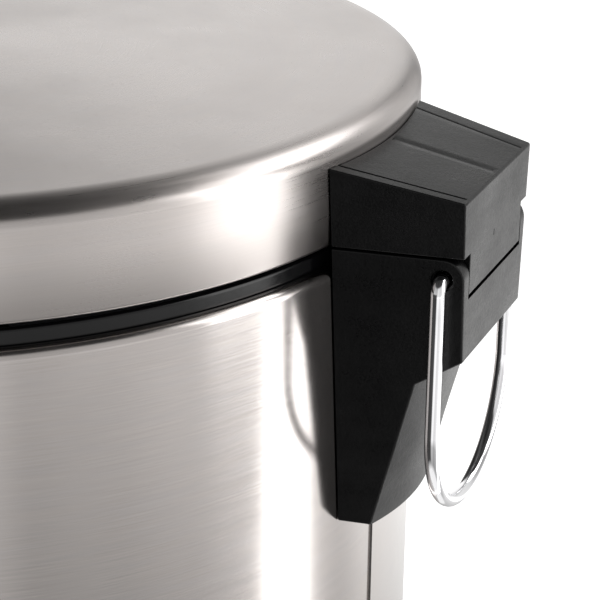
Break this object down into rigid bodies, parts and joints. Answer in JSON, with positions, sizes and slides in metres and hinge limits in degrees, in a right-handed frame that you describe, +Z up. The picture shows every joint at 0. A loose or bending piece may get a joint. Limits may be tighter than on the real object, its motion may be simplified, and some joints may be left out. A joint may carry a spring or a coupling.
{
  "type": "pedal bin",
  "caption": "Round brushed-steel pedal bin with a hinged lid worked by a pedal, lever and push rod, a lift-out bucket and a wire carry handle at the rear.",
  "frame": {"origin": "on the floor, at the centre of the bounding box's base, which is the body's axis", "axes": "+Z up along the body's axis; -Y is the front, with the pedal; +Y is the rear, with the hinge; +X is to the right seen from the front"},
  "size_m": [0.252, 0.3048, 0.4],
  "materials": {
    "brushed_steel": "brushed around the axis",
    "chrome_wire": "polished",
    "black_plastic": "fine moulded texture",
    "liner_plastic": "satin",
    "bucket_plastic": "satin",
    "zinc_steel": "zinc plated",
    "rubber": "matte"
  },
  "bodies": {
    "bin_body": {"outer_body": "brushed_steel", "top_rim_ring": "black_plastic", "base_ring": "black_plastic", "bottom_plate": "zinc_steel", "foot_front_left": "rubber", "foot_front_right": "rubber", "foot_rear_left": "rubber", "foot_rear_right": "rubber", "pedal_bracket": "zinc_steel", "pedal_bracket_screw_front": "zinc_steel", "pedal_bracket_screw_rear": "zinc_steel", "pedal_pivot_pin": "zinc_steel", "pedal_pin_clip": "zinc_steel", "rod_guide_lower": "black_plastic", "rod_guide_upper": "black_plastic", "hinge_bracket": "black_plastic", "hinge_backing_plate": "zinc_steel", "bracket_screw_lower_left": "zinc_steel", "bracket_screw_lower_right": "zinc_steel", "bracket_screw_upper_left": "zinc_steel", "bracket_screw_upper_right": "zinc_steel", "hinge_pin": "zinc_steel"},
    "lid": {"lid_shell": "brushed_steel", "lid_hinge_block": "black_plastic", "crank_link_pin": "zinc_steel", "lid_liner": "liner_plastic", "lid_buffer_front": "rubber", "lid_buffer_left": "rubber", "lid_buffer_right": "rubber", "lid_screw_left": "zinc_steel", "lid_screw_right": "zinc_steel"},
    "rod": {"push_rod": "zinc_steel"},
    "pedal": {"pedal_lever": "zinc_steel", "pedal_tread": "black_plastic", "pedal_tread_screw": "zinc_steel", "lever_link_pin": "zinc_steel"},
    "handle": {"carry_handle": "chrome_wire"},
    "bucket": {"inner_bucket": "bucket_plastic"},
    "bucket_bail": {"bucket_handle": "zinc_steel"}
  },
  "joints": [
    {"name": "lid_hinge", "type": "hinge", "parent": "bin_body", "child": "lid", "pos_m": [0, 0.1475, 0.367], "axis": [-1, 0, 0], "range_deg": [0, 75]},
    {"name": "push_rod_slide", "type": "slide", "parent": "bin_body", "child": "rod", "axis": [0, 0, 1], "range_m": [0, 0.0195]},
    {"name": "pedal_pivot", "type": "hinge", "parent": "bin_body", "child": "pedal", "pos_m": [0, -0.02, 0.019], "axis": [1, 0, 0], "range_deg": [0, 8.22]},
    {"name": "carry_handle_swing", "type": "hinge", "parent": "bin_body", "child": "handle", "pos_m": [0, 0.1475, 0.367], "axis": [1, 0, 0], "range_deg": [0, 90]},
    {"name": "bucket_lift", "type": "slide", "parent": "bin_body", "child": "bucket", "axis": [0, 0, 1], "range_m": [0, 0.006]},
    {"name": "bucket_handle_swing", "type": "hinge", "parent": "bucket", "child": "bucket_bail", "pos_m": [0, 0, 0.3743], "axis": [-1, 0, 0], "range_deg": [0, 5]}
  ],
  "couplings": [
    {"joint": "push_rod_slide", "follows": "lid_hinge", "m_per_rad": 0.014882},
    {"joint": "pedal_pivot", "follows": "lid_hinge", "ratio": 0.10951}
  ]
}
